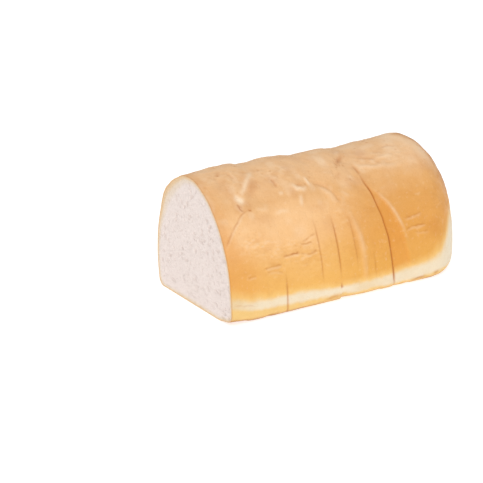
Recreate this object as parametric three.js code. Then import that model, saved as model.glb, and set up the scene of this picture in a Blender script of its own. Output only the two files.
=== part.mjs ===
// A white pan loaf, cut right through into slices that still stand together in the loaf's own shape.
// One end is the open cut face of the crumb, and the other is the rounded crust of the heel.
// Millimetres, +Z up. X runs along the loaf from the cut face to the heel, and -Y is its front.
import * as THREE from 'three';

// Driving dimensions: the cutting
const SLICE_COUNT = 13; // the last slice is the heel
const SLICE_PITCH = 17; // from one cut to the next, along the base
const HEEL_LENGTH = 32; // the last cut to the tip of the heel
const CUT_WIDTH = 0.3; // what the blade leaves between two slices

// Driving dimensions: the loaf's section
const BASE_HALF_WIDTH = 57;
const LOAF_HEIGHT = 108;
const BASE_CORNER = 7; // radius where the base turns into the wall
const WALL_FLARE = 5.2; // how far the wall aims outwards as it rises
const WALL_PULL = 64; // how long the wall keeps that aim before it bends over
const CROWN_PULL = 25; // how wide the crown stays level

// Driving dimensions: the heel's rounded end
const HEEL_ROUND = 39; // how far back from the end face the rounding starts
const HEEL_POWER = 1.7; // 2 is a round of a circle, and less is more pointed
const HEEL_DROP = 1.17; // how far the crown comes down, against how far the walls come in
const HEEL_LIFT = 12; // how far the end's lower edge curls up off the table
const HEEL_BULGE = 3; // how far the end face swells out

// Driving dimensions: how the cut slices stand. They lean towards the cut face.
const LEAN = [[0, 1.8], [51, 3.4], [102, 3.8], [153, 7], [200, 1], [236, 0]]; // degrees, by place
const EDGE_ROUND = 0.5; // the crust is drawn in this much along each cut
const CROWN_LINE = [ // rises and dips along the top of the loaf, by place
  [0, -0.8], [16, 0], [30, 1], [40, 1.4], [52, -0.2], [62, 0], [76, 0.9], [90, 0], [104, -1.7],
  [118, -0.8], [130, -0.7], [143, -1.9], [156, -2.3], [170, -0.3], [186, 0.4], [198, 1.2], [212, 0.3],
  [236, -0.5],
];
const DENTS = [ // shallow hollows in the soft crust: centre, radius and depth, below zero for a swelling
  { centre: [42, -31, 92], radius: 9, depth: 1.6 },
  { centre: [98, -30, 93], radius: 10, depth: 1.3 },
  { centre: [140, -17, 102], radius: 8, depth: 1 },
  { centre: [70, 29, 94], radius: 11, depth: 1.4 },
  { centre: [150, 38, 84], radius: 12, depth: 1.5 },
  { centre: [2, 39, 83], radius: 16, depth: -2.6 },
];

// Driving dimensions: the fold before the heel, where the front is pushed in from the ninth cut on
const FOLD_START = 9 * SLICE_PITCH;
const FOLD_END = [[26, 170], [49, 166], [61, 163], [71, 160], [77, 157], [89, 150]]; // far edge, by height
const FOLD_FOOT = 12; // the height where it dies away above the base
const FOLD_DEPTH = 1.3;

// Driving dimensions: the front lower corner by the cut face, curled up off the table
const FOOT_CURL = 2.6;
const FOOT_CURL_LENGTH = 24; // how far along the loaf it dies away
const FOOT_CURL_FROM = 36; // where it starts across the base
const FOOT_CURL_FULL = 52; // and where it is full
const FOOT_CURL_TOP = 30; // the height where it dies away up the wall

// How finely the surface is divided
const HALF_STEPS = 28; // along half of the section's outline
const SLICE_STEPS = 4; // across one slice's crust
const HEEL_STEPS = 9; // from the heel's cut to the rim of its end face
const FACE_STEPS = 5; // from the rim of the heel's end face to its middle

const LOAF_LENGTH = (SLICE_COUNT - 1) * SLICE_PITCH + HEEL_LENGTH;
const ROUND_START = LOAF_LENGTH - HEEL_BULGE - HEEL_ROUND;
const SECTION_MIDDLE = LOAF_HEIGHT * 0.45;

// The section's outline, once round from the middle of the base: [y, z] pairs.
// A flat base, a round corner, and one sweep of wall and crown that is mirrored to the other side.
function sectionOutline() {
  const half = new THREE.Path();
  half.moveTo(0, 0);
  half.lineTo(BASE_HALF_WIDTH - BASE_CORNER, 0);
  half.absarc(BASE_HALF_WIDTH - BASE_CORNER, BASE_CORNER, BASE_CORNER, -Math.PI / 2, 0, false);
  half.bezierCurveTo(
    BASE_HALF_WIDTH + WALL_FLARE, BASE_CORNER + WALL_PULL,
    CROWN_PULL, LOAF_HEIGHT,
    0, LOAF_HEIGHT,
  );
  const back = half.getSpacedPoints(HALF_STEPS).map((point) => [point.x, point.y]);
  const front = back.slice(1, -1).reverse().map(([y, z]) => [-y, z]);
  return [...back, ...front];
}

// A value that runs straight from one station to the next, or eases in and out of each station.
function between(stations, place, eased = false) {
  const next = stations.findIndex(([at]) => at >= place);
  if (next === 0) return stations[0][1];
  if (next < 0) return stations[stations.length - 1][1];
  const [from, low] = stations[next - 1];
  const [to, high] = stations[next];
  const share = (place - from) / (to - from);
  return THREE.MathUtils.lerp(low, high, eased ? THREE.MathUtils.smoothstep(share, 0, 1) : share);
}

function bell(distance, reach) {
  return Math.exp(-((distance / reach) ** 2));
}

// How deep the fold before the heel is pushed in at a point of the crust.
function foldDepth(place, y, z) {
  if (y >= 0 || place < FOLD_START) return 0;
  const beforeEnd = THREE.MathUtils.smoothstep(between(FOLD_END, z) - place, -0.6, 2.6);
  return FOLD_DEPTH * beforeEnd * THREE.MathUtils.smoothstep(z, FOLD_FOOT, 2 * FOLD_FOOT);
}

// How far the front lower corner by the cut face is curled up at a point of the crust.
function footCurl(place, y, z) {
  const along = 1 - THREE.MathUtils.smoothstep(place, 0, FOOT_CURL_LENGTH);
  const across = THREE.MathUtils.smoothstep(-y, FOOT_CURL_FROM, FOOT_CURL_FULL);
  const upwards = 1 - THREE.MathUtils.smoothstep(z, 0, FOOT_CURL_TOP);
  return FOOT_CURL * along * across * upwards;
}

// How far the crust has closed in towards the loaf's end at a place: 0 along the loaf, 1 at the end face.
function heelClosing(place) {
  const along = THREE.MathUtils.clamp((place - ROUND_START) / HEEL_ROUND, 0, 1);
  return 1 - (1 - along ** HEEL_POWER) ** (1 / HEEL_POWER);
}

// One point of the crust. The heel's rounding pulls it in, dents and the fold hollow it, the lean moves it.
// The lean slides each level of a slice along X, so the base stays flat on the table.
function crustPoint(place, [y, z], drawnIn) {
  const inset = HEEL_ROUND * heelClosing(place);
  const lift = HEEL_LIFT * heelClosing(place);
  const height = LOAF_HEIGHT + between(CROWN_LINE, place, true) - HEEL_DROP * inset;
  const upper = THREE.MathUtils.smoothstep(z, 0, SECTION_MIDDLE);
  const point = new THREE.Vector3(
    place,
    y * (1 - inset / BASE_HALF_WIDTH),
    lift + (z * (height - lift)) / LOAF_HEIGHT + footCurl(place, y, z),
  );
  const middle = new THREE.Vector3(place, 0, SECTION_MIDDLE);
  const inwards = middle.sub(point).normalize();
  let hollow = drawnIn * upper + foldDepth(place, y, z);
  for (const dent of DENTS) {
    hollow += dent.depth * bell(point.distanceTo(new THREE.Vector3(...dent.centre)), dent.radius);
  }
  point.addScaledVector(inwards, hollow);
  point.x -= Math.tan(THREE.MathUtils.degToRad(between(LEAN, place))) * point.z;
  return point;
}

// A closed solid from rings of points, each end closed by a fan round its middle point.
function solidFromRings(rings, firstMiddle, lastMiddle) {
  const around = rings[0].length;
  const points = [...rings.flat(), firstMiddle, lastMiddle];
  const first = points.length - 2;
  const last = points.length - 1;
  const lastRing = (rings.length - 1) * around;
  const triangles = [];
  for (let side = 0; side < around; side += 1) {
    const beside = (side + 1) % around;
    for (let ring = 0; ring < rings.length - 1; ring += 1) {
      const here = ring * around;
      const there = here + around;
      triangles.push(here + side, there + beside, there + side);
      triangles.push(here + side, here + beside, there + beside);
    }
    triangles.push(first, beside, side);
    triangles.push(last, lastRing + side, lastRing + beside);
  }
  const geometry = new THREE.BufferGeometry();
  geometry.setAttribute('position', new THREE.Float32BufferAttribute(points.flatMap((p) => p.toArray()), 3));
  geometry.setIndex(triangles);
  geometry.computeVertexNormals();
  return geometry;
}

const OUTLINE = sectionOutline();

function crustRing(place, drawnIn) {
  return OUTLINE.map((point) => crustPoint(place, point, drawnIn));
}

function middleOf(ring) {
  const sum = ring.reduce((total, point) => total.add(point), new THREE.Vector3());
  return sum.divideScalar(ring.length);
}

// A slice between two cuts: its crust is drawn in a little along both of its edges.
function sliceGeometry(number) {
  const from = (number - 1) * SLICE_PITCH + CUT_WIDTH / 2;
  const to = number * SLICE_PITCH - CUT_WIDTH / 2;
  const rings = [];
  for (let step = 0; step <= SLICE_STEPS; step += 1) {
    const across = step / SLICE_STEPS;
    const drawnIn = EDGE_ROUND * Math.abs(2 * across - 1) ** 4;
    const place = THREE.MathUtils.lerp(from, to, across);
    rings.push(crustRing(place, drawnIn));
  }
  return solidFromRings(rings, middleOf(rings[0]), middleOf(rings[rings.length - 1]));
}

// The heel: one cut face, then the crust rounds over to the loaf's end and closes in a low swell.
function heelGeometry() {
  const cut = LOAF_LENGTH - HEEL_LENGTH + CUT_WIDTH / 2;
  const rings = [];
  const end = ROUND_START + HEEL_ROUND;
  for (let step = 0; step <= HEEL_STEPS; step += 1) {
    const share = Math.sin((step / HEEL_STEPS) * (Math.PI / 2));
    rings.push(crustRing(THREE.MathUtils.lerp(cut, end, share), 0));
  }
  const rim = rings[rings.length - 1];
  const middle = middleOf(rim);
  for (let step = 1; step < FACE_STEPS; step += 1) {
    const share = step / FACE_STEPS;
    const bulge = HEEL_BULGE * THREE.MathUtils.smoothstep(share, 0, 1);
    rings.push(rim.map((point) => {
      const inner = point.clone().lerp(middle, share);
      inner.x += bulge;
      return inner;
    }));
  }
  const tip = middle.clone();
  tip.x += HEEL_BULGE;
  return solidFromRings(rings, middleOf(rings[0]), tip);
}

const crust = new THREE.MeshStandardMaterial({ color: 0xe8b272, roughness: 0.6, metalness: 0 });

const loaf = new THREE.Group();
for (let number = 1; number <= SLICE_COUNT; number += 1) {
  const geometry = number < SLICE_COUNT ? sliceGeometry(number) : heelGeometry();
  const slice = new THREE.Mesh(geometry, crust);
  slice.name = `slice_${String(number).padStart(2, '0')}`;
  loaf.add(slice);
}

// The origin is under the middle of the loaf's box, on the table.
const box = new THREE.Box3().setFromObject(loaf);
loaf.position.set(-(box.min.x + box.max.x) / 2, -(box.min.y + box.max.y) / 2, -box.min.z);
loaf.updateMatrixWorld(true);

export default loaf;
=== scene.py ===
# A white pan loaf, cut into slices that still stand together, in metres
import math
from collections import namedtuple

import bpy
import numpy as np
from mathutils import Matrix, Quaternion, Vector


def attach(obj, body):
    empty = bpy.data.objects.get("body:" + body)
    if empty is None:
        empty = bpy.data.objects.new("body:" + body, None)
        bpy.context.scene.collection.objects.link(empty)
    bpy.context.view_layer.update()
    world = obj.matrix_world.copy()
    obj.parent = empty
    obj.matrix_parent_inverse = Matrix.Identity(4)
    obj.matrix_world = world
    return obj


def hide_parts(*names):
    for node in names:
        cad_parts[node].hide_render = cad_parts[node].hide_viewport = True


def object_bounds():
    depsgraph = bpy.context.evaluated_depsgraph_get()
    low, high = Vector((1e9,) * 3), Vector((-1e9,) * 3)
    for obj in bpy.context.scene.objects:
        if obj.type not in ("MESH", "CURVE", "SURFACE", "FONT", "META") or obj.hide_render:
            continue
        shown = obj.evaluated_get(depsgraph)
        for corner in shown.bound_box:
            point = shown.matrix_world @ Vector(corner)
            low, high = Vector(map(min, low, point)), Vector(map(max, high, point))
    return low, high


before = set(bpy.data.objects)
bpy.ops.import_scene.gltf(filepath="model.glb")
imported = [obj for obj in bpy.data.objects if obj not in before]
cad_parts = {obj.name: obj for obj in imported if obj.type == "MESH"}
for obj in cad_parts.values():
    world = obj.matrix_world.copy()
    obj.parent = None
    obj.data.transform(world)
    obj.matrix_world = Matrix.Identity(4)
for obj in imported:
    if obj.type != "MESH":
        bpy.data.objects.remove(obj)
cad_low, cad_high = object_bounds()

# The first slice
# A thick slice of white pan bread: fine soft crumb inside a thin crust, browned by the tin and the oven.
# The knife has bared the crumb of its near face. It stands on its base against the next slice, unfixed.
mm = 0.001
SLICE_PITCH = 17 * mm  # from one cut to the next, along the base
LOAF_LENGTH = 236 * mm
LOAF_HEIGHT = 108 * mm
BASE_HALF_WIDTH = 57 * mm
BASE_CORNER = 7 * mm  # radius where the base turns into the wall
WALL_FLARE = 5.2 * mm  # how far the wall aims outwards as it rises
WALL_PULL = 64 * mm  # how long the wall keeps that aim before it bends over
CROWN_PULL = 25 * mm  # how wide the crown stays level
CRUST_STEP = 0.65 * mm  # the mesh's spacing round the crust
BASE_STEP = 2.5 * mm  # the mesh's spacing across the flat base
SWEEP_POINTS = 400  # how finely the wall and crown are traced before that spacing is laid on
CORNER_POINTS = 40  # and the corner of the base


def half_section():
    """Half of the loaf's section, from the middle of the crown to the middle of the base: girth, y and z."""
    turn = np.linspace(0, 1, SWEEP_POINTS)[:, None]
    crown = np.array([0, LOAF_HEIGHT])
    shoulder = np.array([CROWN_PULL, LOAF_HEIGHT])
    wall = np.array([BASE_HALF_WIDTH + WALL_FLARE, BASE_CORNER + WALL_PULL])
    foot = np.array([BASE_HALF_WIDTH, BASE_CORNER])
    sweep = (1 - turn) ** 3 * crown + 3 * (1 - turn) ** 2 * turn * shoulder
    sweep = sweep + 3 * (1 - turn) * turn**2 * wall + turn**3 * foot
    angle = np.linspace(0, math.pi / 2, CORNER_POINTS)[1:]
    corner_y = BASE_HALF_WIDTH - BASE_CORNER * (1 - np.cos(angle))
    corner_z = BASE_CORNER * (1 - np.sin(angle))
    outline = np.concatenate([sweep, np.stack([corner_y, corner_z], axis=1), np.zeros((1, 2))])
    steps = np.linalg.norm(np.diff(outline, axis=0), axis=1)
    girth = np.concatenate([[0], np.cumsum(steps)])
    return girth, outline[:, 0], outline[:, 1]


HALF_GIRTH, HALF_Y, HALF_Z = half_section()
WALL_GIRTH = HALF_GIRTH[-2]  # from the crown to where the flat base begins


def ring_girths():
    """Girths of one ring round the loaf, from the middle of the base, up the front and down the back."""
    crust = np.linspace(-WALL_GIRTH, WALL_GIRTH, round(2 * WALL_GIRTH / CRUST_STEP))
    base_count = round((HALF_GIRTH[-1] - WALL_GIRTH) / BASE_STEP)
    base = np.linspace(WALL_GIRTH, HALF_GIRTH[-1], base_count)[1:]
    return np.concatenate([-base[::-1], crust, base[:-1]])


RING = ring_girths()
HEEL_ROUND = 39 * mm  # how far back from the end face the heel's rounding starts
HEEL_POWER = 1.7  # 2 is a round of a circle, and less is more pointed
HEEL_DROP = 1.17  # how far the crown comes down, against how far the walls come in
HEEL_LIFT = 12 * mm  # how far the end's lower edge curls up off the table
HEEL_BULGE = 3 * mm  # how far the end face swells out
ROUND_START = LOAF_LENGTH - HEEL_BULGE - HEEL_ROUND
FOOT_CURL = [  # how far the front lower corner is curled up off the table: places and rises, in mm
    (0, 2.6), (24, 0), (101.9, 0), (102.1, 1.0), (122, 0), (152.9, 0), (153.1, 0.4), (172, 0), (236, 0),
]
FOOT_UNEVEN = 0.8 * mm  # how uneven both lower corners are
FOOT_LUMP = 7 * mm  # and in lumps of what size
FOOT_FROM = 36 * mm  # where the lower corners start across the base
FOOT_FULL = 52 * mm  # and where they are full
FOOT_TOP = 30 * mm  # the height where they die away up the wall
CROWN_LINE = [  # how high the crown stands above its plain height: places and rises, in mm
    (0, -0.8), (16, 0), (30, 1.0), (40, 1.4), (52, -0.2), (62, 0), (76, 0.9), (90, 0), (104, -1.7),
    (118, -0.8), (130, -0.7), (143, -1.9), (156, -2.3), (170, -0.3), (186, 0.4), (198, 1.2), (212, 0.3),
    (236, -0.5),
]
LEAN_PLACES = [0 * mm, 51 * mm, 102 * mm, 153 * mm, 200 * mm, 236 * mm]
LEAN_DEGREES = [1.8, 3.4, 3.8, 7, 1, 0]  # towards the cut face


def bell(distance, reach):
    return np.exp(-((distance / reach) ** 2))


def ramp(value, low, high):
    """0 below low, 1 above high, and a smooth rise between."""
    share = np.clip((value - low) / (high - low), 0, 1)
    return share * share * (3 - 2 * share)


def stations(pairs, at):
    """A value that runs smoothly between stations, which stand at places or girths in mm."""
    places, values = np.array(pairs).T
    places = places * mm
    before = np.clip(np.searchsorted(places, at, side="right") - 1, 0, len(places) - 2)
    share = ramp(at, places[before], places[before + 1])
    return values[before] + (values[before + 1] - values[before]) * share


def lumps(points, size, seed):
    """Smooth random values from -1 to 1, in lumps of that size, the same on every run."""
    period = 64
    table = np.random.default_rng(seed).uniform(-1, 1, (period, period, period))
    scaled_points = points / size
    low = np.floor(scaled_points).astype(int)
    share = scaled_points - low
    share = share * share * (3 - 2 * share)
    total = np.zeros(points.shape[:-1])
    for corner in np.ndindex(2, 2, 2):
        cell = (low + corner) % period
        weight = np.prod(np.where(corner, share, 1 - share), axis=-1)
        total += weight * table[cell[..., 0], cell[..., 1], cell[..., 2]]
    return total


def plain_crust(places):
    """The bare crust before any relief: a row of points for each place, a column for each girth."""
    along = np.clip((places - ROUND_START) / HEEL_ROUND, 0, 1)
    closing = 1 - (1 - along**HEEL_POWER) ** (1 / HEEL_POWER)
    inset = HEEL_ROUND * closing
    lift = HEEL_LIFT * closing
    top = LOAF_HEIGHT + stations(CROWN_LINE, places) * mm - HEEL_DROP * inset
    y = np.sign(RING) * np.interp(np.abs(RING), HALF_GIRTH, HALF_Y)
    z = np.interp(np.abs(RING), HALF_GIRTH, HALF_Z)
    x = np.repeat(places[:, None], len(RING), axis=1)
    spread = np.outer(1 - inset / BASE_HALF_WIDTH, y)
    raised = lift[:, None] + np.outer((top - lift) / LOAF_HEIGHT, z)
    corner = ramp(np.abs(y), FOOT_FROM, FOOT_FULL) * (1 - ramp(z, 0, FOOT_TOP))
    raised += np.outer(stations(FOOT_CURL, places) * mm, corner * (y < 0))
    uneven = np.clip(lumps(np.stack([x, spread, raised], axis=-1), FOOT_LUMP, seed=18), 0, 1)
    return np.stack([x, spread, raised + FOOT_UNEVEN * uneven * corner], axis=-1)


def outward(rows):
    """The direction straight out of the crust at each point."""
    round_the_loaf = np.roll(rows, -1, axis=1) - np.roll(rows, 1, axis=1)
    along_the_loaf = np.gradient(rows, axis=0)
    normal = np.cross(along_the_loaf, round_the_loaf)
    return normal / np.linalg.norm(normal, axis=-1, keepdims=True)


# Marks on the crust. Each follows a path of places along the loaf and girths from the crown, in mm,
# with the front's girths below zero. Then come its width, its rise out of the crust in mm, and its tone,
# browner above zero and paler below: the crust's own colour on some marks, and on others painted shade in
# splits and hollows and a painted highlight on lips and ridges. fade is the share of its length over which
# each end dies away.
Mark = namedtuple("Mark", "path width rise tone fade", defaults=[0.4])
LIP_AHEAD = 0.3  # where the swollen lip of a split lies beside it, in mm along the loaf
LIP_BELOW = 1.4  # and down it


def crack(*path, depth=0.4):
    """A thin split in the crust with a swollen lip under it: painted shade browns the split and a painted
    highlight pales the lip. The deepest have a depth of about 0.6.
    """
    lip_path = [(place + LIP_AHEAD, girth - LIP_BELOW) for place, girth in path]
    split = Mark(path, width=0.7, rise=-0.25 * depth, tone=1.05 * depth, fade=0.2)
    lip = Mark(lip_path, width=1.1, rise=0.7 * depth, tone=-0.55 * depth, fade=0.25)
    return [split, lip]


MARKS = [
    # the forked split near the cut face
    *crack((34, -46.5), (26, -47.5), (20, -51), (14, -57), (8, -63), (0, -72)),
    *crack((26, -47.5), (24, -44), (23.5, -39), depth=0.52),
    Mark([(22, -41), (27, -43.5)], 1.2, -0.2, 0.40),
    Mark([(30, -47), (34.5, -47)], 0.9, -0.2, 0.65),
    # level splits along the front, where the dough rose past the tin
    *crack((50, -86), (57, -86.6), (67, -86.4), depth=0.60),
    *crack((66, -87), (70, -88.2), (75, -89), (84, -87), depth=0.35),
    *crack((68, -80), (74, -80.8), (80, -80.2), depth=0.45),
    *crack((70, -79), (77, -76.5), (84, -74), depth=0.30),
    *crack((31, -93.6), (40, -93), (50, -91.4), depth=0.50),
    *crack((33, -96), (42, -97), (50, -99), depth=0.30),
    *crack((16, -97), (25, -96.4), depth=0.30),
    *crack((1, -116.5), (10, -119), (22, -120.5), depth=0.20),
    *crack((168, -86.4), (175, -86), (188, -85.4), depth=0.50),
    *crack((168, -78), (176, -77), (186, -75.4), depth=0.35),
    *crack((175, -90), (181, -91.2), (190, -92), depth=0.25),
    # stretched pale skin round the dents of the shoulder, with painted shade in the hollow below it
    Mark([(55, -9), (42, -22), (36, -28), (26, -37)], 2.2, 0.8, -0.75),
    # painted shade in the hollow below the pale streak
    Mark([(53, -17), (46, -26), (38, -35), (34, -40)], 3.6, -0.8, 0.22),
    Mark([(48, -9), (38, -20), (30, -29)], 2.6, -0.6, 0.14),
    Mark([(22, -32), (27, -37), (33, -39)], 3.0, -0.5, -1.15),
    Mark([(76, -31), (81, -37), (86, -38.5), (93, -35)], 1.8, 0.9, -0.85),
    Mark([(80, -33), (85, -34.5), (90, -32)], 1.8, -0.7, 0.18),
    Mark([(92.5, -25), (95, -37)], 1.5, 0.8, -0.75),
    Mark([(83, -40), (78, -53)], 1.6, 0.4, -0.55),
    Mark([(52, -52), (69, -52.4)], 1.7, 0.25, -0.40),
    Mark([(36, -48), (52, -48)], 1.8, 0.2, -0.25),
    Mark([(63, -38), (69, -38)], 1.6, 0.3, -0.40),
    Mark([(118, -43), (129, -52)], 2.2, 0.3, -0.25),
    # folds and pocks where the crown sank, with painted highlights on the rises beside two of them and
    # painted shade along one fold
    Mark([(63.5, -22), (64.5, -28), (65, -34)], 1.3, -0.6, 0.50),
    # painted shade along the fold over the seventh cut, then a painted highlight on the ridge beside it
    Mark([(95, -30), (103, -34), (108, -38), (113, -45), (118, -56)], 1.7, -0.7, 0.11, fade=0.2),
    Mark([(98, -36), (104, -39), (109, -45), (114, -56)], 2.6, 0.6, -0.38),
    Mark([(128, -23), (136, -17), (145, -10)], 1.9, -1.1, 0.55),
    Mark([(129, -21.5), (133, -20)], 1.6, -0.4, 0.35),
    Mark([(130, -18.4), (132, -18.8)], 0.9, -0.3, 0.55, fade=0.3),
    Mark([(132.6, -22), (134.4, -22.6)], 1.0, -0.3, 0.60, fade=0.3),
    Mark([(128, -23.4), (129.4, -24)], 0.9, -0.3, 0.45, fade=0.3),
    Mark([(122, -36), (127, -31), (130, -27)], 1.4, -0.5, 0.20),
    Mark([(134, -3), (150, -9)], 8.0, -0.3, 0.12),
    # a painted highlight on the rise above the pock fold
    Mark([(135, -13), (140, -8), (146, -3)], 2.4, 0.6, -0.35),
    Mark([(146, -22), (148, -36)], 1.8, -0.6, 0.36),
    Mark([(18, -11), (26, -6)], 1.5, -0.3, 0.32),
    Mark([(20.6, -10.4), (22.6, -9.6)], 1.0, -0.3, 0.65, fade=0.3),
    Mark([(41, -4), (45, -2)], 1.2, -0.3, 0.36),
    Mark([(29, -10), (34, -20)], 1.3, -0.4, 0.20),
    Mark([(64, -20), (71, -19), (78, -17)], 1.1, -0.35, 0.20),
    Mark([(120, -34), (128, -29)], 1.2, -0.35, 0.18),
    # broad paler and browner blotches along the crown
    Mark([(152, -14), (165, -14)], 6.5, 0, 0.27),
    Mark([(76, -16), (88, -16)], 6.0, 0, 0.12),
    Mark([(111, -14), (125, -14)], 7.5, 0, -0.42),
    Mark([(175, -17), (189, -17)], 7.0, 0, -0.40),
    Mark([(188, -31), (202, -31)], 6.0, 0, 0.12),
    # and more down the front
    Mark([(62, -70), (80, -70)], 6.0, 0, -0.25),
    Mark([(90, -71), (108, -70)], 6.0, 0, 0.14),
    Mark([(119, -41), (136, -40)], 5.0, 0, -0.28),
    Mark([(33, -94), (52, -95)], 6.0, 0, 0.14),
    Mark([(191, -80), (195, -92), (195, -104)], 6.0, 0, 0.25),
    # the swollen rim of the wrinkled patch on top of the heel
    Mark([(143, -18), (153, -26), (162, -30), (172, -33), (188, -33)], 2.2, 0.8, -0.42),
    Mark([(166, -18), (176, -25), (187, -21)], 2.6, 0.5, -0.34),
    Mark([(150, -15), (160, -20), (170, -27)], 1.5, -0.6, 0.20),
    Mark([(172, -16), (182, -13), (190, -17)], 1.4, -0.4, 0.18),
    # the torn corner of the pale strip at the sixth cut
    Mark([(101.6, -117), (102.2, -121), (102.6, -124.5)], 0.9, -0.5, 0.85),
    # the soft ridge beside the seventh cut, painted pale as a highlight with painted shade in the hollow
    # beside it, and the lit edge of the fold before the heel, painted pale as a highlight
    Mark([(117, -50), (125, -80), (126, -95), (125.5, -115), (125, -130)], 2.6, 0.9, -0.26),
    Mark([(115, -54), (120, -75), (121, -95), (121, -110)], 2.2, -0.4, 0.14),
    Mark([(152, -44), (157, -54), (160.6, -62), (164, -72), (167.4, -85), (169.6, -99)], 1.2, 0.3, -0.36),
    # browned spots along the foot, where the dough caught on the tin
    Mark([(168, -131), (178, -130), (187, -130.6)], 1.3, 0, 0.55),
    Mark([(191, -129.4), (199, -128.6)], 1.5, 0, 0.50),
    Mark([(84, -130.4), (96, -129.6), (105, -129.6)], 1.4, 0, 0.55),
]
POCKS = 90  # small browned pits over the crown, where bubbles broke
POCK_END = 215  # how far along the loaf they lie, in mm
POCK_SPREAD = 24  # how far they scatter round the loaf, in mm
POCK_SIZES = (0.5, 1.1)  # the smallest and the largest, in mm
POCK_DEPTH = 0.25  # against their size
POCK_TONE = 0.30
# Where the skin is finely wrinkled: place, girth, reach along and round the loaf, and height, in mm
ROUGH_PATCHES = [
    (168, -22, 20, 9, 0.42),
    (26, -73, 11, 8, 0.45),
    (40, -80, 9, 9, 0.36),
    (60, -80, 12, 7, 0.26),
    (28, -13, 20, 11, 0.38),
    (74, -92, 14, 9, 0.32),
    (72, -20, 14, 10, 0.30),
    (110, -62, 16, 14, 0.16),
    (60, 30, 40, 20, 0.22),
    (160, 40, 30, 30, 0.20),
]
DENTS = [  # hollows in the soft crust: place, girth, radius and depth, in mm, below zero for a swelling
    (42, -36, 9, 1.6),
    (98, -34.6, 10, 1.3),
    (140, -18, 8, 1.0),
    (70, 33, 11, 1.4),
    (150, 46, 12, 1.5),
    (2, 47, 16, -2.6),
]
# The fold before the heel: the front is pushed in between two lines, each a list of girths and places.
FOLD_NEAR = [(-125, 153), (-90, 153), (-75, 152), (-55, 150), (-38, 147)]
FOLD_FAR = [(-125, 170), (-108, 170), (-97, 168), (-85, 166), (-72, 163), (-62, 160), (-55, 157), (-40, 148)]
FOLD_DEPTH = 1.3 * mm


def traced(mark, place, girth):
    """How strongly a mark shows at each point: 1 on its path, fading sideways and at both ends."""
    nearest = np.full(place.shape, np.inf)
    along = np.zeros(place.shape)
    length = 0
    for (place_a, girth_a), (place_b, girth_b) in zip(mark.path, mark.path[1:]):
        run_place = (place_b - place_a) * mm
        run_girth = (girth_b - girth_a) * mm
        run = math.hypot(run_place, run_girth)
        from_a = (place - place_a * mm) * run_place + (girth - girth_a * mm) * run_girth
        share = np.clip(from_a / run**2, 0, 1)
        off_place = place - place_a * mm - share * run_place
        off_girth = girth - girth_a * mm - share * run_girth
        distance = np.hypot(off_place, off_girth)
        closer = distance < nearest
        nearest = np.where(closer, distance, nearest)
        along = np.where(closer, length + share * run, along)
        length += run
    fade = mark.fade * length
    ends = ramp(along, 0, fade) * ramp(length - along, 0, fade)
    return bell(nearest, mark.width * mm) * ends


WAVER = 0.8 * mm  # how far a mark strays from its path
WAVER_LENGTH = 5 * mm  # over what length
RIPPLE = 0.35 * mm  # and the finer straying on top of it
RIPPLE_LENGTH = 1.8 * mm
THIN = 1.0  # a mark thinner than this, in mm, is broken up along its length
THIN_STRENGTH = 0.8  # its usual strength
THIN_SWING = 0.5  # how far that swings
THIN_LENGTH = 3 * mm  # and over what length
BROAD_STRENGTH = 0.9  # the same of a broader mark
BROAD_SWING = 0.3
BROAD_LENGTH = 7 * mm


def marked(rows, place, girth):
    """All the marks at each point of the crust: how far they stand out, how brown and how pale they are, the
    brown partly painted shade and the pale partly painted highlight.
    """
    waver = WAVER * lumps(rows, WAVER_LENGTH, seed=41) + RIPPLE * lumps(rows, RIPPLE_LENGTH, seed=42)
    broken = THIN_STRENGTH + THIN_SWING * lumps(rows, THIN_LENGTH, seed=43)
    soft = BROAD_STRENGTH + BROAD_SWING * lumps(rows, BROAD_LENGTH, seed=45)
    rise = np.zeros(place.shape)
    brown = np.zeros(place.shape)
    pale = np.zeros(place.shape)
    for mark in MARKS:
        shows = traced(mark, place, girth + waver) * (broken if mark.width < THIN else soft)
        rise += mark.rise * mm * shows
        brown = np.maximum(brown, mark.tone * shows)
        pale = np.maximum(pale, -mark.tone * shows)
    draw = np.random.default_rng(44)
    for _ in range(POCKS):
        at_place = draw.uniform(0, POCK_END) * mm
        at_girth = draw.normal(0, POCK_SPREAD) * mm
        size = draw.uniform(*POCK_SIZES) * mm
        shows = bell(np.hypot(place - at_place, girth - at_girth), size)
        rise -= POCK_DEPTH * size * shows
        brown = np.maximum(brown, POCK_TONE * shows)
    return rise, brown, pale


FOLD_NEAR_EDGE = (-0.5 * mm, 0.5 * mm)  # the fold starts sharply at its near line
FOLD_FAR_EDGE = (-0.6 * mm, 2.6 * mm)  # and ends softly at its far one
FOLD_UPPER = (40 * mm, 60 * mm)  # the girths over which it dies away towards the crown
FOLD_LOWER = (-124 * mm, -112 * mm)  # and towards the foot


def in_fold(place, girth):
    """1 where the front is pushed in before the heel, and 0 elsewhere."""
    near = ramp(place - stations(FOLD_NEAR, girth) * mm, *FOLD_NEAR_EDGE)
    far = ramp(stations(FOLD_FAR, girth) * mm - place, *FOLD_FAR_EDGE)
    return near * far * ramp(-girth, *FOLD_UPPER) * ramp(girth, *FOLD_LOWER)


WRINKLE_GRAIN = np.array([3.4, 2.4, 1.5]) * mm  # the wrinkles lie level: long along the loaf, thin upwards
WRINKLE_FOLD = 4.5 * mm  # the size of the rounder folds among them
WRINKLE_FOLD_SHARE = 0.6


def wrinkled(rows, place, girth):
    """How far the wrinkles of the rough patches stand out."""
    height = np.zeros(place.shape)
    for at_place, at_girth, along, across, peak in ROUGH_PATCHES:
        away = np.hypot((place / mm - at_place) / along, (girth / mm - at_girth) / across)
        height += peak * mm * bell(away, 1)
    wrinkles = lumps(rows, WRINKLE_GRAIN, seed=16)
    folds = lumps(rows, WRINKLE_FOLD, seed=17)
    return height * (wrinkles + WRINKLE_FOLD_SHARE * folds)


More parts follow.
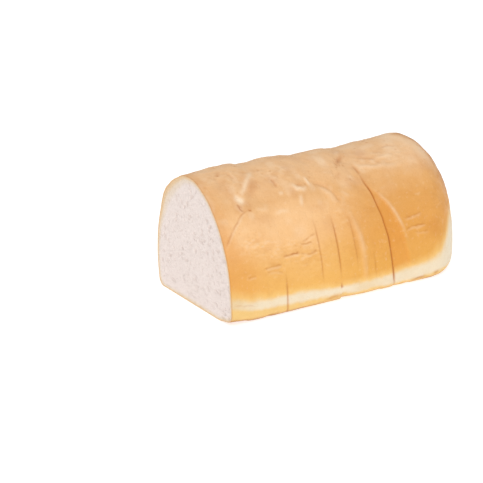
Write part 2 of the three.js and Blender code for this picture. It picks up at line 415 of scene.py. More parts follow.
UNEVENNESS = [  # lumps of the plain crust: their size, height on the crown and on the wall in mm, and seed
    (26, 0.40, 0.40, 11),
    (9, 0.40, 0.18, 12),
    (3.5, 0.16, 0.07, 13),
]
CROWN_TO_WALL = (40 * mm, 70 * mm)  # the girths over which the crown turns into the wall
WALL_WRINKLE = 0.14 * mm  # the height of the fine level wrinkles that lie in patches on the wall
WALL_WRINKLE_GRAIN = np.array([7, 7, 1.4]) * mm
WALL_PATCH = 15 * mm  # the size of those patches
WALL_PATCH_LEVELS = (-0.1, 0.5)  # the noise's levels where a patch starts and is full
RELIEF_FADE = 16 * mm  # the stretch above the base over which all relief dies away


def crust_relief(rows, place, girth):
    """How far the crust stands out of its plain form: lumps, wrinkles, dents, marks and the fold."""
    wall = ramp(np.abs(girth), *CROWN_TO_WALL)
    relief = np.zeros(place.shape)
    for size, on_crown, on_wall, seed in UNEVENNESS:
        height = on_crown + (on_wall - on_crown) * wall
        relief += height * mm * lumps(rows, size * mm, seed)
    patches = ramp(lumps(rows, WALL_PATCH, seed=15), *WALL_PATCH_LEVELS)
    relief += WALL_WRINKLE * wall * patches * lumps(rows, WALL_WRINKLE_GRAIN, seed=14)
    for at_place, at_girth, radius, depth in DENTS:
        away = np.hypot(place - at_place * mm, girth - at_girth * mm)
        relief -= depth * mm * bell(away, radius * mm)
    relief += wrinkled(rows, place, girth)
    relief += marked(rows, place, girth)[0]
    relief -= FOLD_DEPTH * in_fold(place, girth)
    clear_of_base = ramp(-np.abs(girth), -WALL_GIRTH, -WALL_GIRTH + RELIEF_FADE)
    return relief * clear_of_base


def linear(red, green, blue):
    """A colour as the eye reads it, from 0 to 255, in light's own linear values, by the sRGB curve."""
    share = np.array([red, green, blue]) / 255
    return np.where(share <= 0.04045, share / 12.92, ((share + 0.055) / 1.055) ** 2.4)


# The bake from the crown down the wall, at each girth in mm: rosy tan on top, paler there partly as a painted
# sheen of the overhead light, gold where the wall stood clear of the tin, and deeper amber towards the heel.
FRONT_BAKE_AND_SHEEN = [
    (0, linear(240, 196, 149)),
    (28, linear(236, 188, 136)),
    (42, linear(233, 182, 126)),
    (58, linear(244, 196, 142)),
    (74, linear(241, 190, 131)),
    (92, linear(235, 180, 106)),
    (112, linear(234, 178, 94)),
]
HEEL_BAKE_AND_SHEEN = [
    (0, linear(237, 193, 146)),
    (29, linear(235, 188, 138)),
    (43, linear(229, 174, 112)),
    (62, linear(224, 162, 88)),
    (85, linear(224, 159, 78)),
    (112, linear(226, 165, 77)),
]
PALE = linear(234, 219, 192)
CREAM = linear(225, 192, 136)
STRIP_GOLD = linear(239, 197, 122)
BASE_GOLD = linear(234, 195, 124)
# the base's own brown bake, darkened as painted shade where the lower edge turns from the light
BASE_BROWN_AND_SHADE = linear(184, 126, 60)
# the brown of the crust's own spots and blotches, also used as painted shade in splits, cuts and hollows
BROWN_AND_SHADE = linear(182, 98, 12)
# amber by the cut face, and also painted shade in the fold before the heel
AMBER_AND_SHADE = linear(224, 150, 62)
# the brown of the end's bake, deepened as painted shade where the end turns from the light
END_BROWN_AND_SHADE = linear(190, 126, 64)
# the pale of stretched skin and blotches, also used as a painted highlight on lips, ridges and wrinkle tops
PALE_SKIN_AND_HIGHLIGHT = linear(250, 222, 188)
# The strip that the tin kept pale: the girths of its upper and lower edges by place, how blurred its upper
# edge is in mm, and how creamy it is.
PALE_UPPER = [
    (0, 111), (20, 116), (40, 118), (60, 118.5), (80, 120), (100, 121.5), (140, 122), (160, 120.5),
    (180, 119), (190, 118), (198, 115), (205, 108.5), (209, 100), (213, 92), (217, 86), (223, 82), (236, 74),
]
PALE_LOWER = [
    (0, 120.5), (10, 122), (25, 124.5), (50, 126), (95, 127.5), (125, 130), (160, 130), (205, 128),
    (236, 134),
]
PALE_BLUR = [
    (0, 4), (20, 3), (50, 2.4), (155, 2.4), (185, 3), (200, 6), (208, 9), (216, 12), (223, 15), (236, 16),
]
CREAM_SHARE = [(0, 0.7), (25, 0.1), (105, 0), (125, 0.4), (150, 0.1), (198, 0.1), (214, 0), (236, 0)]
# How brown the loaf's lower edge is, by place: the base's bake deepened by painted shade
LOWER_EDGE_BROWN_AND_SHADE = [(0, 1), (60, 0.9), (95, 0.45), (175, 0.45), (190, 0.9), (236, 1)]
# Where the darker bake of the loaf's end, deepened by painted shade, begins, by girth
HEEL_BROWN = [(0, 192), (6, 197), (14, 203), (22, 206.5), (30, 209), (46, 211.5), (70, 212.5), (190, 213)]


def baked(stops, girth):
    """The colour between two stops of the bake."""
    girths = [at * mm for at, _ in stops]
    colours = np.array([colour for _, colour in stops])
    return np.stack([np.interp(girth, girths, channel) for channel in colours.T], axis=-1)


def mixed(colours, other, share):
    return colours + (other - colours) * np.clip(share, 0, 1)[..., None]


BAKE_PATCH = 16 * mm  # the size of the patches in which the bake drifts up and down the wall
BAKE_DRIFT = 4 * mm  # and how far it drifts
BAKE_MOTTLE = 2 * mm  # how far it strays in smaller patches
BAKE_MOTTLE_SIZE = 6 * mm
HEEL_BAKE_REACH = (80 * mm, 150 * mm)  # the places between which the heel's deeper bake comes on
FOLD_SHADE = 0.6  # how amber painted shade makes the fold before the heel
CUT_AMBER = 0.2  # how amber the crown is by the cut face
CUT_AMBER_MORE = 0.26  # and how much more the wall is
CUT_AMBER_GROWS = (52 * mm, 66 * mm)  # over which girths
CUT_REACH = 16 * mm  # how far from the cut face that reaches along the crown
CUT_REACH_MORE = 24 * mm  # and how much farther along the wall
CUT_REACH_GROWS = (62 * mm, 92 * mm)  # over which girths
CUT_FULL = 0.25  # the share of that reach where it is full


def oven_bake_and_painted_light(rows, place, girth, drift):
    """The bake of the crown and the walls, amber by the cut face, with a paler crown that is partly painted
    sheen and a fold deepened to amber by painted shade.
    """
    patchy = np.abs(girth) + BAKE_DRIFT * drift + BAKE_MOTTLE * lumps(rows, BAKE_MOTTLE_SIZE, seed=22)
    towards_heel = ramp(place, *HEEL_BAKE_REACH)
    colours = mixed(baked(FRONT_BAKE_AND_SHEEN, patchy), baked(HEEL_BAKE_AND_SHEEN, patchy), towards_heel)
    amber = CUT_AMBER + CUT_AMBER_MORE * ramp(np.abs(girth), *CUT_AMBER_GROWS)
    reach = CUT_REACH + CUT_REACH_MORE * ramp(np.abs(girth), *CUT_REACH_GROWS)
    by_the_cut = amber * ramp(-place, -reach, -CUT_FULL * reach)
    return mixed(colours, AMBER_AND_SHADE, FOLD_SHADE * in_fold(place, girth) + by_the_cut)


GOLD_BLUR = 3  # how far above the strip its golden edge starts, against the strip's blur
GOLD_REACH = 16 * mm  # and at most
GOLD_SHARE = 0.8
LOWER_BLUR = 2 * mm  # how blurred the strip's lower edge is
FOOT_GIRTH = 130 * mm  # where the loaf's lower edge starts to brown, with painted shade over the base's bake
FOOT_BELOW = 1 * mm  # and how far below the strip at least
FOOT_BLUR = 4 * mm
BASE_TURN = (136 * mm, 141 * mm)  # the girths over which the base turns brown


def pale_strip(colours, place, below):
    """The foot of the walls, which the tin kept pale, with a golden edge above it and a browner one below,
    the base's bake deepened by painted shade.
    """
    blur = stations(PALE_BLUR, place) * mm
    upper = stations(PALE_UPPER, place) * mm
    lower = stations(PALE_LOWER, place) * mm
    gold_reach = np.minimum(GOLD_BLUR * blur, GOLD_REACH)
    colours = mixed(colours, STRIP_GOLD, GOLD_SHARE * ramp(below, upper - gold_reach, upper))
    pale = mixed(np.broadcast_to(PALE, colours.shape), CREAM, stations(CREAM_SHARE, place))
    colours = mixed(colours, pale, ramp(below, upper - blur, upper + blur))
    colours = mixed(colours, BASE_GOLD, ramp(below, lower - LOWER_BLUR, lower + LOWER_BLUR))
    edge = np.maximum(lower + FOOT_BELOW, FOOT_GIRTH)
    lower_edge_brown_and_shade = ramp(below, edge, edge + FOOT_BLUR) * stations(LOWER_EDGE_BROWN_AND_SHADE, place)
    return mixed(colours, BASE_BROWN_AND_SHADE, np.maximum(lower_edge_brown_and_shade, ramp(below, *BASE_TURN)))


END_STRAY = 3 * mm  # how far the edge of the end's darker bake and painted shade strays
END_STRAY_SIZE = 9 * mm
END_COMES = (-1 * mm, 10 * mm)  # the stretch past that edge over which it comes on
END_EASES = (10 * mm, 28 * mm)  # and over which it eases off again
END_EASED = 0.45  # how far it eases off
END_SHARE = 0.75
END_GIRTHS = (40 * mm, 66 * mm)  # the girths over which it dies away down the end
RIDGE_BEFORE = 5 * mm  # how far before that edge the painted highlight on the heel's shoulder lies
RIDGE_WIDTH = 8 * mm
SHOULDER_HIGHLIGHT_SHARE = 0.4
RIDGE_GIRTHS = (22 * mm, 44 * mm)  # the girths over which that highlight dies away


def browned_and_shaded_end(colours, rows, place, girth, below):
    """The darker bake over the top of the loaf's end, deepened by painted shade where the end turns from the
    light, behind a paler band that is a painted highlight.
    """
    past_edge = place - stations(HEEL_BROWN, np.abs(girth)) * mm
    past_edge += END_STRAY * lumps(rows, END_STRAY_SIZE, seed=26)
    shoulder_highlight = bell(past_edge + RIDGE_BEFORE, RIDGE_WIDTH) * (1 - ramp(np.abs(girth), *RIDGE_GIRTHS))
    colours = mixed(colours, PALE_SKIN_AND_HIGHLIGHT, SHOULDER_HIGHLIGHT_SHARE * shoulder_highlight)
    end_bake = ramp(past_edge, *END_COMES) * (1 - END_EASED * ramp(past_edge, *END_EASES))
    return mixed(colours, END_BROWN_AND_SHADE, END_SHARE * end_bake * (1 - ramp(below, *END_GIRTHS)))


BLOTCH_GIRTHS = (45 * mm, 75 * mm)  # the girths over which the crown's blotches die away
BLOTCH_LEVELS = (0.1, 0.8)  # the noise's levels where a blotch starts and is full
PALE_BLOTCH = 0.26  # how strong the pale ones are
PALE_BLOTCH_SIZE = 8 * mm
BROWN_BLOTCH = 0.14  # and the brown ones
BROWN_BLOTCH_SIZE = 11 * mm
HEEL_EVEN = 0.7  # how much weaker the pale ones are on the heel's shoulder
HEEL_EVEN_PLACES = (140 * mm, 165 * mm)
HEEL_EVEN_GIRTHS = (30 * mm, 40 * mm)
PAINTED_WRINKLE_HIGHLIGHT = 0.9  # how pale a painted highlight makes a wrinkle's top, for each mm of its height
PAINTED_WRINKLE_SHADE = 0.45  # and how brown painted shade makes its hollow


def blotched(colours, rows, place, girth):
    """Pale and brown blotches over the crown, then a painted highlight on the wrinkles' tops and painted
    shade in their hollows.
    """
    crown = 1 - ramp(np.abs(girth), *BLOTCH_GIRTHS)
    on_heel = ramp(place, *HEEL_EVEN_PLACES) * ramp(np.abs(girth), *HEEL_EVEN_GIRTHS)
    pale = ramp(lumps(rows, PALE_BLOTCH_SIZE, seed=24), *BLOTCH_LEVELS) * crown * (1 - HEEL_EVEN * on_heel)
    brown = ramp(lumps(rows, BROWN_BLOTCH_SIZE, seed=25), *BLOTCH_LEVELS) * crown
    colours = mixed(colours, PALE_SKIN_AND_HIGHLIGHT, PALE_BLOTCH * pale)
    colours = mixed(colours, BROWN_AND_SHADE, BROWN_BLOTCH * brown)
    wrinkles = wrinkled(rows, place, girth) / mm
    colours = mixed(colours, PALE_SKIN_AND_HIGHLIGHT, PAINTED_WRINKLE_HIGHLIGHT * wrinkles)
    return mixed(colours, BROWN_AND_SHADE, -PAINTED_WRINKLE_SHADE * wrinkles)


STRIP_DRIFT = 0.9 * mm  # how far the pale strip's edges drift with the bake
STRIP_MOTTLE = 0.7 * mm  # and stray in smaller patches
STRIP_MOTTLE_SIZE = 3 * mm


def crust_tones(rows, place, girth):
    """How the oven and the tin coloured each point of the crust, with painted shade and painted highlights
    laid over it.
    """
    drift = lumps(rows, BAKE_PATCH, seed=21)
    below = np.abs(girth) + STRIP_DRIFT * drift + STRIP_MOTTLE * lumps(rows, STRIP_MOTTLE_SIZE, seed=23)
    colours = oven_bake_and_painted_light(rows, place, girth, drift)
    colours = pale_strip(colours, place, below)
    colours = browned_and_shaded_end(colours, rows, place, girth, below)
    colours = blotched(colours, rows, place, girth)
    _, brown, pale_skin_and_highlight = marked(rows, place, girth)
    return mixed(mixed(colours, PALE_SKIN_AND_HIGHLIGHT, pale_skin_and_highlight), BROWN_AND_SHADE, brown)


# How a cut shows on the crust: how wide it stands open, how deep its edges are drawn in, how brown painted
# shade makes them, and between which heights, first on the front and then on the back.
Cut = namedtuple("Cut", "gap sink tone front back")
CLOSED = Cut(gap=0, sink=0, tone=0, front=None, back=None)
BARE = Cut(gap=0, sink=0.25 * mm, tone=0.35, front=(-20, 130), back=(-20, 130))
KNIFE_GAP = 0.02 * mm  # what stays between two slices where a cut has closed up
CUT_FADE = 9 * mm  # the height over which a gaping cut closes up, to each side of its ends
EDGE_REACH = 0.8 * mm  # how far from a cut the crust is drawn in
EDGE_POWER = 1.4  # and how sharply that dies away
CUT_SHADE_WIDTH = 0.6 * mm  # how far from a cut painted shade browns the crust
CUT_SHADE_WIDTH_MORE = 0.4 * mm  # and how much farther where the cut is darkest
EDGE_FOOT = 5 * mm  # the stretch above the base over which the drawing in dies away
EDGE_ROWS = np.array([0, 0.15, 0.4, 0.75, 1.2]) * mm  # the mesh's rows along a cut edge
ROW_STEP = 0.7 * mm  # and over the rest of the slice


def cut_shows(cut, height, girth):
    """How far a cut stands open at each point: 1 where it gapes, 0 where it has closed up."""
    shows = np.zeros(height.shape)
    for window, on_side in ((cut.front, girth < 0), (cut.back, girth >= 0)):
        if window is not None:
            low, high = np.array(window) * mm
            opens = ramp(height, low - CUT_FADE, low + CUT_FADE)
            closes = ramp(height, high - CUT_FADE, high + CUT_FADE)
            gapes = opens * (1 - closes)
            shows = np.where(on_side, gapes, shows)
    return shows


def cut_rows(start, end):
    """Places across a slice, closer together along its two cut edges."""
    count = round((end - start - 2 * EDGE_ROWS[-1]) / ROW_STEP)
    middle = np.linspace(start + EDGE_ROWS[-1], end - EDGE_ROWS[-1], count)[1:-1]
    return np.concatenate([start + EDGE_ROWS, middle, end - EDGE_ROWS[::-1]])


FRAME_SHIFT = np.array([cad_high.x - LOAF_LENGTH, (cad_low.y + cad_high.y) / 2, 0])


def stood_up(rows, place):
    """The points moved to where their slice stands, leaning towards the cut face."""
    lean = np.tan(np.radians(np.interp(place, LEAN_PLACES, LEAN_DEGREES)))
    moved = rows + FRAME_SHIFT
    moved[..., 0] -= lean * rows[..., 2]
    return moved


BENT_CUT = 9  # the cut at the near side of the fold, whose upper part is bent towards the cut face
BEND = [(0, -7), (38, -6), (55, -3), (75, -1), (90, 0), (190, 0)]  # girths and how far it is bent, in mm


def bent(number, girth):
    """How far a cut is bent out of its plane."""
    return stations(BEND, np.abs(girth)) * mm if number == BENT_CUT else 0


RIND_SWELL = 1.8  # how much thicker the rind is on the upper back
RIND_SWELL_GIRTH = 40 * mm  # where it is thickest
RIND_SWELL_REACH = 34 * mm
RIND = 1 + RIND_SWELL * bell(RING - RIND_SWELL_GIRTH, RIND_SWELL_REACH)  # how thick it is round the loaf
CRUMB_OPENS = (0.5 * mm, 3 * mm)  # how far inside the crust the open crumb starts and is full
KNIFE_UNEVEN = 0.2 * mm  # how uneven the knife left it
KNIFE_LUMP = 7 * mm


def crumb_face(rim, rings, facing, pores):
    """A cut face from its rim to its middle: the rings of points, how far each is from the crust,
    and how deep it lies in a pore. facing is -1 for the near face and 1 for the far one."""
    middle = rim.mean(axis=0)
    share = np.linspace(0, 1, rings + 1)[1:, None, None]
    points = rim + share * (middle - rim)
    from_crust = share[..., 0] * np.linalg.norm(rim - middle, axis=1) / RIND
    open_crumb = ramp(from_crust, *CRUMB_OPENS)
    hollow = pores(points) * open_crumb
    unevenness = KNIFE_UNEVEN * (1 + lumps(points, KNIFE_LUMP, seed=31)) * open_crumb
    points[..., 0] -= facing * (hollow + unevenness)
    return points, from_crust, hollow


SPONGE = [  # the fine bubbles all over: size in mm, the noise's levels where one starts and is full, seed
    (1.3, 0.1, 0.6, 32),
    (2.4, 0.25, 0.7, 33),
]
SPONGE_DEPTH = 0.25 * mm
PORE_COUNT = 900  # the larger bubbles
PORE_SMALL = 0.45 * mm
PORE_LARGE = 1.6 * mm
PORE_RARITY = 4  # the higher, the fewer of them are large
PORE_STRETCH = 2.4  # the longest ones' length against their width
PORE_DEPTH = 0.6  # against their radius


def open_pores(points):
    """Depths of the bubbles that the knife cut open: a fine sponge all over, and some larger ones."""
    depth = np.zeros(points.shape[:-1])
    for size, starts, full, seed in SPONGE:
        depth += SPONGE_DEPTH * ramp(lumps(points, size * mm, seed), starts, full)
    draw = np.random.default_rng(5)
    low = points.reshape(-1, 3).min(axis=0)
    high = points.reshape(-1, 3).max(axis=0)
    for _ in range(PORE_COUNT):
        centre = draw.uniform(low, high)
        radius = PORE_SMALL + (PORE_LARGE - PORE_SMALL) * draw.random() ** PORE_RARITY
        stretch = draw.uniform(1, PORE_STRETCH)
        turn = draw.uniform(0, math.pi)
        off_y = points[..., 1] - centre[1]
        off_z = points[..., 2] - centre[2]
        along = (off_y * math.cos(turn) + off_z * math.sin(turn)) / stretch
        across = off_z * math.cos(turn) - off_y * math.sin(turn)
        bowl = np.clip(1 - (along**2 + across**2) / radius**2, 0, None)
        depth = np.maximum(depth, PORE_DEPTH * radius * np.sqrt(bowl))
    return depth


def shut_pores(points):
    """A cut face that lies against its neighbour shows no pores."""
    return np.zeros(points.shape[:-1])


def new_finish(name, roughness):
    """A node material whose shader has that roughness."""
    finish = bpy.data.materials.new(name)
    finish.use_nodes = True
    shader = finish.node_tree.nodes["Principled BSDF"]
    shader.inputs["Roughness"].default_value = roughness
    return finish, finish.node_tree, shader


def attribute_node(tree, name):
    node = tree.nodes.new("ShaderNodeAttribute")
    node.attribute_name = name
    return node


def grain(tree, size, detail, low, high):
    """Noise in grains of that size, fixed to the bread, spread from 0 at low to 1 at high."""
    place = tree.nodes.new("ShaderNodeTexCoord")
    noise = tree.nodes.new("ShaderNodeTexNoise")
    noise.inputs["Scale"].default_value = 1 / size
    noise.inputs["Detail"].default_value = detail
    tree.links.new(place.outputs["Object"], noise.inputs["Vector"])
    spread = tree.nodes.new("ShaderNodeMapRange")
    spread.interpolation_type = "SMOOTHSTEP"
    spread.inputs["From Min"].default_value = low
    spread.inputs["From Max"].default_value = high
    tree.links.new(noise.outputs["Fac"], spread.inputs["Value"])
    return spread.outputs["Result"]


def scaled(tree, value, factor):
    """A node value times a number."""
    times = tree.nodes.new("ShaderNodeMath")
    times.operation = "MULTIPLY"
    times.inputs[1].default_value = factor
    tree.links.new(value, times.inputs[0])
    return times.outputs["Value"]


def tinted(tree, share, colour, tint, blend="MIX"):
    """A colour with a tint laid over it where share is high."""
    mix = tree.nodes.new("ShaderNodeMix")
    mix.data_type = "RGBA"
    mix.blend_type = blend
    tree.links.new(share, mix.inputs["Factor"])
    tree.links.new(colour, mix.inputs["A"])
    mix.inputs["B"].default_value = (*tint, 1)
    return mix.outputs["Result"]


def bumps(tree, height, distance, below=None):
    """A bump of that height, over another one if there is one below."""
    bump = tree.nodes.new("ShaderNodeBump")
    bump.inputs["Distance"].default_value = distance
    tree.links.new(height, bump.inputs["Height"])
    if below is not None:
        tree.links.new(below, bump.inputs["Normal"])
    return bump.outputs["Normal"]


MOTTLE = (0.93, 0.87, 0.80)  # what the mottling and the specks leave of the bake's red, green and blue
SPECK = (0.90, 0.79, 0.66)
FLECK = linear(250, 216, 178)


def crust_finish():
    """Baked crust: soft mottling, fine browned specks and pale flecks, with a dull satin skin."""
    finish, tree, shader = new_finish("baked_crust", roughness=0.5)
    shader.inputs["Specular IOR Level"].default_value = 0.25
    tone = attribute_node(tree, "crust_tone").outputs["Color"]
    mottled = scaled(tree, grain(tree, 9 * mm, detail=4, low=0.42, high=0.72), factor=0.45)
    tone = tinted(tree, mottled, tone, MOTTLE, "MULTIPLY")
    specks = scaled(tree, grain(tree, 1.3 * mm, detail=2, low=0.56, high=0.74), factor=0.40)
    tone = tinted(tree, specks, tone, SPECK, "MULTIPLY")
    flecks = scaled(tree, grain(tree, 3.2 * mm, detail=3, low=0.56, high=0.78), factor=0.18)
    tone = tinted(tree, flecks, tone, FLECK)
    tree.links.new(tone, shader.inputs["Base Color"])
    roughness = tree.nodes.new("ShaderNodeMapRange")
    roughness.inputs["To Min"].default_value = 0.42
    roughness.inputs["To Max"].default_value = 0.62
    tree.links.new(grain(tree, 5 * mm, detail=2, low=0.3, high=0.7), roughness.inputs["Value"])
    tree.links.new(roughness.outputs["Result"], shader.inputs["Roughness"])
    skin = bumps(tree, grain(tree, 4 * mm, detail=3, low=0.2, high=0.8), distance=0.20 * mm)
    skin = bumps(tree, grain(tree, 1.1 * mm, detail=2, low=0.2, high=0.8), distance=0.06 * mm, below=skin)
    tree.links.new(skin, shader.inputs["Normal"])
    return finish


RIND_TONES = [  # from the crust inwards, by the share of the rind's depth
    (0.00, linear(224, 180, 130)),
    (0.15, linear(231, 199, 158)),
    (0.40, linear(237, 219, 200)),
    (0.80, linear(240, 226, 219)),
]
RIND_DEPTH = 6 * mm
CELL = (0.84, 0.80, 0.78)  # what the fine cells, and the painted shade in the pores, leave of the crumb's red, green and blue
PORE = (0.80, 0.75, 0.72)
PORE_SHADE = 0.7 / (1.2 * mm)  # how strongly a pore is shaded, for its depth


def crumb_finish():
    """White crumb: matt and finely pored, with painted shade in the pores, turning through cream to tan close
    to the crust.
    """
    finish, tree, shader = new_finish("white_crumb", roughness=0.85)
    rind = tree.nodes.new("ShaderNodeValToRGB")
    rind.color_ramp.interpolation = "EASE"
    stops = rind.color_ramp.elements
    while len(stops) < len(RIND_TONES):
        stops.new(0.5)
    for stop, (position, colour) in zip(stops, RIND_TONES):
        stop.position = position
        stop.color = (*colour, 1)
    depth = scaled(tree, attribute_node(tree, "from_crust").outputs["Fac"], 1 / RIND_DEPTH)
    tree.links.new(depth, rind.inputs["Fac"])
    tone = rind.outputs["Color"]
    cells = scaled(tree, grain(tree, 1.2 * mm, detail=3, low=0.50, high=0.75), factor=0.34)
    tone = tinted(tree, cells, tone, CELL, "MULTIPLY")
    hollow = scaled(tree, attribute_node(tree, "pore").outputs["Fac"], PORE_SHADE)
    tone = tinted(tree, hollow, tone, PORE, "MULTIPLY")
    tree.links.new(tone, shader.inputs["Base Color"])
    texture = bumps(tree, grain(tree, 1.8 * mm, detail=4, low=0.2, high=0.8), distance=0.35 * mm)
    fine_cells = grain(tree, 0.7 * mm, detail=3, low=0.2, high=0.8)
    texture = bumps(tree, fine_cells, distance=0.15 * mm, below=texture)
    tree.links.new(texture, shader.inputs["Normal"])
    return finish


CRUST = crust_finish()
CRUMB = crumb_finish()
OPEN_RINGS = 110  # the mesh's rings on the bare face
SHUT_RINGS = 6  # and on a face that lies against another
SHARP_EDGE = math.radians(55)  # the mesh is shaded smooth up to this turn


def ring_links(outer, inner, around, reverse):
    """Quads that join two rings of points, given where each starts in the mesh."""
    here = np.arange(around)
    there = np.roll(here, -1)
    corners = [outer + here, outer + there, inner + there, inner + here]
    return np.stack(corners[::-1] if reverse else corners, axis=-1).tolist()


def fan(ring, around, middle, reverse):
    """Triangles that close a ring round its middle point."""
    here = np.arange(around) + ring
    there = np.roll(here, -1)
    corners = [there, here] if reverse else [here, there]
    return np.stack([*corners, np.full(around, middle)], axis=-1).tolist()


def bread_piece(name, crust_rows, tones, near_face, far_face):
    """One slice as a mesh: its crust, then its two faces, each closed round a middle point."""
    row_count, around = crust_rows.shape[:2]
    total = row_count * around
    points = [crust_rows.reshape(-1, 3)]
    from_crust = [np.zeros(total)]
    pores = [np.zeros(total)]
    polygons = []
    for row in range(row_count - 1):
        polygons += ring_links(row * around, (row + 1) * around, around, reverse=True)
    crust_count = len(polygons)
    for face, rim, reverse in ((near_face, 0, False), (far_face, total - around, True)):
        rings, distance, hollow = face
        outer = rim
        for inner in range(total, total + (len(rings) - 1) * around, around):
            polygons += ring_links(outer, inner, around, reverse)
            outer = inner
        total += (len(rings) - 1) * around
        polygons += fan(outer, around, total, reverse)
        total += 1
        points += [rings[:-1].reshape(-1, 3), rings[-1].mean(axis=0, keepdims=True)]
        from_crust += [distance[:-1].ravel(), distance[-1:].mean(axis=1)]
        pores += [hollow[:-1].ravel(), np.zeros(1)]
    mesh = bpy.data.meshes.new(name)
    mesh.from_pydata(np.concatenate(points).tolist(), [], polygons)
    mesh.materials.append(CRUST)
    mesh.materials.append(CRUMB)
    is_crumb = (np.arange(len(polygons)) >= crust_count).astype(np.int32)
    mesh.polygons.foreach_set("material_index", is_crumb)
    mesh.polygons.foreach_set("use_smooth", np.ones(len(polygons), dtype=bool))
    shades = np.ones((total, 4))
    shades[: row_count * around, :3] = tones.reshape(-1, 3)
    mesh.attributes.new("crust_tone", "FLOAT_COLOR", "POINT").data.foreach_set("color", shades.ravel())
    mesh.attributes.new("from_crust", "FLOAT", "POINT").data.foreach_set("value", np.concatenate(from_crust))
    mesh.attributes.new("pore", "FLOAT", "POINT").data.foreach_set("value", np.concatenate(pores))
    mesh.set_sharp_from_angle(angle=SHARP_EDGE)
    mesh.update()
    piece = bpy.data.objects.new(name + "_bread", mesh)
    bpy.context.scene.collection.objects.link(piece)
    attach(piece, "root")
    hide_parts(name)


def drawn_in(rows, start, end, near_cut, far_cut, girth):
    """The crust beside a slice's two cuts: how far it sinks, and how brown painted shade makes it."""
    sink = np.zeros(rows.shape[:-1])
    brown = np.zeros(rows.shape[:-1])
    for cut, distance in ((near_cut, rows[..., 0] - start), (far_cut, end - rows[..., 0])):
        shows = cut_shows(cut, rows[..., 2], girth)
        sink += cut.sink * shows * np.exp(-((distance / EDGE_REACH) ** EDGE_POWER))
        brown += cut.tone * shows * bell(distance, CUT_SHADE_WIDTH + CUT_SHADE_WIDTH_MORE * cut.tone)
    return sink * ramp(-np.abs(girth), -WALL_GIRTH, -WALL_GIRTH + EDGE_FOOT), brown


def cut_slice(number, near_cut, far_cut, open_face=False):
    """One slice between two cuts."""
    start = (number - 1) * SLICE_PITCH + KNIFE_GAP / 2
    end = number * SLICE_PITCH - KNIFE_GAP / 2
    rows = plain_crust(cut_rows(start, end))
    girth = np.broadcast_to(RING, rows.shape[:-1])
    sink, brown = drawn_in(rows, start, end, near_cut, far_cut, girth)
    across = (rows[..., 0] - start) / (end - start)
    near_gap = near_cut.gap / 2 * cut_shows(near_cut, rows[..., 2], girth)
    far_gap = far_cut.gap / 2 * cut_shows(far_cut, rows[..., 2], girth)
    rows[..., 0] += near_gap * (1 - across) - far_gap * across
    rows[..., 0] += bent(number - 1, girth) * (1 - across) + bent(number, girth) * across
    place = rows[..., 0].copy()
    relief = crust_relief(rows, place, girth) - sink
    # painted shade browns the crust along the cuts
    tones = mixed(crust_tones(rows, place, girth), BROWN_AND_SHADE, brown)
    rows = stood_up(rows + outward(rows) * relief[..., None], place)
    if open_face:
        near_face = crumb_face(rows[0], OPEN_RINGS, facing=-1, pores=open_pores)
    else:
        near_face = crumb_face(rows[0], SHUT_RINGS, facing=-1, pores=shut_pores)
    far_face = crumb_face(rows[-1], SHUT_RINGS, facing=1, pores=shut_pores)
    bread_piece(f"slice_{number:02d}", rows, tones, near_face, far_face)


cut_slice(1, BARE, CLOSED, open_face=True)

# The middle slices
# Eleven more slices of the same bread, in the order they were cut. Each rests on its base and leans on
# the one before it, a little out of line, so some cuts gape on the crust and others have closed up.
SLICE_COUNT = 13
CUTS = {number: CLOSED for number in range(1, SLICE_COUNT)}
# each cut's tone is the painted shade that browns the crust along it
CUTS[3] = Cut(gap=0.03 * mm, sink=0.28 * mm, tone=0.55, front=(-20, 27), back=(10, 50))
CUTS[5] = Cut(gap=0, sink=0.14 * mm, tone=0.40, front=(26, 64), back=(30, 70))
CUTS[6] = Cut(gap=0.04 * mm, sink=0.28 * mm, tone=0.54, front=(26, 64), back=(-20, 58))
CUTS[7] = Cut(gap=0, sink=0.16 * mm, tone=0.28, front=(30, 62), back=(15, 40))
CUTS[8] = Cut(gap=0, sink=0.12 * mm, tone=0.35, front=(18, 32), back=(20, 66))
CUTS[9] = Cut(gap=0.07 * mm, sink=0.42 * mm, tone=0.94, front=(6, 87), back=(-20, 74))
CUTS[11] = Cut(gap=0, sink=0.14 * mm, tone=0.35, front=None, back=(25, 60))

for number in range(2, SLICE_COUNT):
    cut_slice(number, CUTS[number - 1], CUTS[number])

# The heel
# The loaf's end, cut thick: one face of crumb, and all the rest crust that rounds over and closes.
# The tin shielded the lower half of its end, so it stayed pale there. It stands on its base.
END_PLACE = LOAF_LENGTH - HEEL_BULGE
HEEL_ROWS = 52  # the mesh's rows from the cut to the rim of the end face
END_ROWS = 44  # and from that rim to its middle

heel_start = (SLICE_COUNT - 1) * SLICE_PITCH + KNIFE_GAP / 2
rounding = np.sin(np.linspace(0, math.pi / 2, HEEL_ROWS))
heel_rows = plain_crust(heel_start + (END_PLACE - heel_start) * rounding)
rim = heel_rows[-1]
rim_middle = rim.mean(axis=0)
inwards = np.linspace(0, 1, END_ROWS + 1)[1:-1, None, None]
end_rows = rim + inwards * (rim_middle - rim)
end_rows[..., 0] += HEEL_BULGE * ramp(inwards, 0, 1)[..., 0]
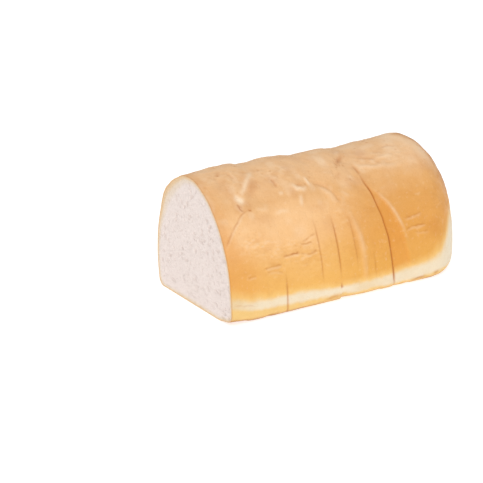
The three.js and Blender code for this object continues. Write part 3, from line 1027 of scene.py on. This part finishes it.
# On the end face the bake lies in level bands: a point has the girth of the rim at its own height.
rim_wall = np.abs(RING) <= WALL_GIRTH
rim_order = np.argsort(rim[rim_wall, 2])
level_girth = np.interp(end_rows[..., 2], rim[rim_wall, 2][rim_order], np.abs(RING[rim_wall])[rim_order])
end_girth = np.where(RING < 0, -level_girth, level_girth)
heel_rows = np.concatenate([heel_rows, end_rows])
heel_place = heel_rows[..., 0].copy()
heel_girth = np.concatenate([np.broadcast_to(RING, (HEEL_ROWS, len(RING))), end_girth])
heel_relief = crust_relief(heel_rows, heel_place, heel_girth)
heel_tones = crust_tones(heel_rows, heel_place, heel_girth)
heel_rows = stood_up(heel_rows + outward(heel_rows) * heel_relief[..., None], heel_place)
heel_near = crumb_face(heel_rows[0], SHUT_RINGS, facing=-1, pores=shut_pores)
heel_far = crumb_face(heel_rows[-1], rings=1, facing=1, pores=shut_pores)
bread_piece(f"slice_{SLICE_COUNT:02d}", heel_rows, heel_tones, heel_near, heel_far)

# The table
# A plain white table top, wide enough to fill the picture. The loaf only rests on it.
# It glows a little, as a light table of frosted plastic does.
FLOOR_HALF = 12.0  # from its middle to its edge
FLOOR_GREY = 0.55
FLOOR_GLOW = 0.71
floor_mesh = bpy.data.meshes.new("table_top")
floor_corners = [(-FLOOR_HALF, -FLOOR_HALF, 0), (FLOOR_HALF, -FLOOR_HALF, 0)]
floor_corners += [(FLOOR_HALF, FLOOR_HALF, 0), (-FLOOR_HALF, FLOOR_HALF, 0)]
floor_mesh.from_pydata(floor_corners, [], [(0, 1, 2, 3)])
floor_finish, _, floor_shader = new_finish("white_table", roughness=0.7)
floor_shader.inputs["Base Color"].default_value = (FLOOR_GREY, FLOOR_GREY, FLOOR_GREY, 1)
floor_shader.inputs["Emission Color"].default_value = (1, 1, 1, 1)
floor_shader.inputs["Emission Strength"].default_value = FLOOR_GLOW
floor_mesh.materials.append(floor_finish)
floor = bpy.data.objects.new("table_top", floor_mesh)
bpy.context.scene.collection.objects.link(floor)

# The light and the camera
# Even white studio light from all round, with a broad soft lamp above the camera.
# The camera looks from the photograph's angle, at a point left of the loaf's middle.
SKY_STRENGTH = 0.58
LAMP_AZIMUTH = math.radians(-32)
LAMP_ELEVATION = math.radians(48)
LAMP_STRENGTH = 1.25
LAMP_SPREAD = math.radians(50)
VIEW_AZIMUTH = math.radians(-31.38)
VIEW_ELEVATION = math.radians(19.78)
VIEW_ROLL = math.radians(-0.67)  # the camera was not held quite level
VIEW_DISTANCE = 1.4836
LENS = 137.07  # mm, on a sensor 36 mm wide
AIM = Vector((57.05 * mm, 21.7 * mm, 35.57 * mm)) + Vector(FRAME_SHIFT)

scene = bpy.context.scene
scene.view_settings.view_transform = "Standard"
scene.world = bpy.data.worlds.new("studio")
scene.world.use_nodes = True
sky = scene.world.node_tree.nodes["Background"]
sky.inputs["Color"].default_value = (1, 1, 1, 1)
sky.inputs["Strength"].default_value = SKY_STRENGTH


def aimed(thing, azimuth, elevation, roll=0):
    """Puts a lamp or camera round the aim and turns it there. Azimuth 0 is in front of the loaf."""
    back = Vector((
        math.sin(azimuth) * math.cos(elevation),
        -math.cos(azimuth) * math.cos(elevation),
        math.sin(elevation),
    ))
    thing.location = AIM + VIEW_DISTANCE * back
    thing.rotation_euler = (back.to_track_quat("Z", "Y") @ Quaternion((0, 0, 1), roll)).to_euler()
    scene.collection.objects.link(thing)


lamp = bpy.data.lights.new("lamp", "SUN")
lamp.energy = LAMP_STRENGTH
lamp.angle = LAMP_SPREAD
aimed(bpy.data.objects.new("lamp", lamp), LAMP_AZIMUTH, LAMP_ELEVATION)

camera_data = bpy.data.cameras.new("camera")
camera_data.lens = LENS
camera = bpy.data.objects.new("camera", camera_data)
aimed(camera, VIEW_AZIMUTH, VIEW_ELEVATION, VIEW_ROLL)
scene.camera = camera
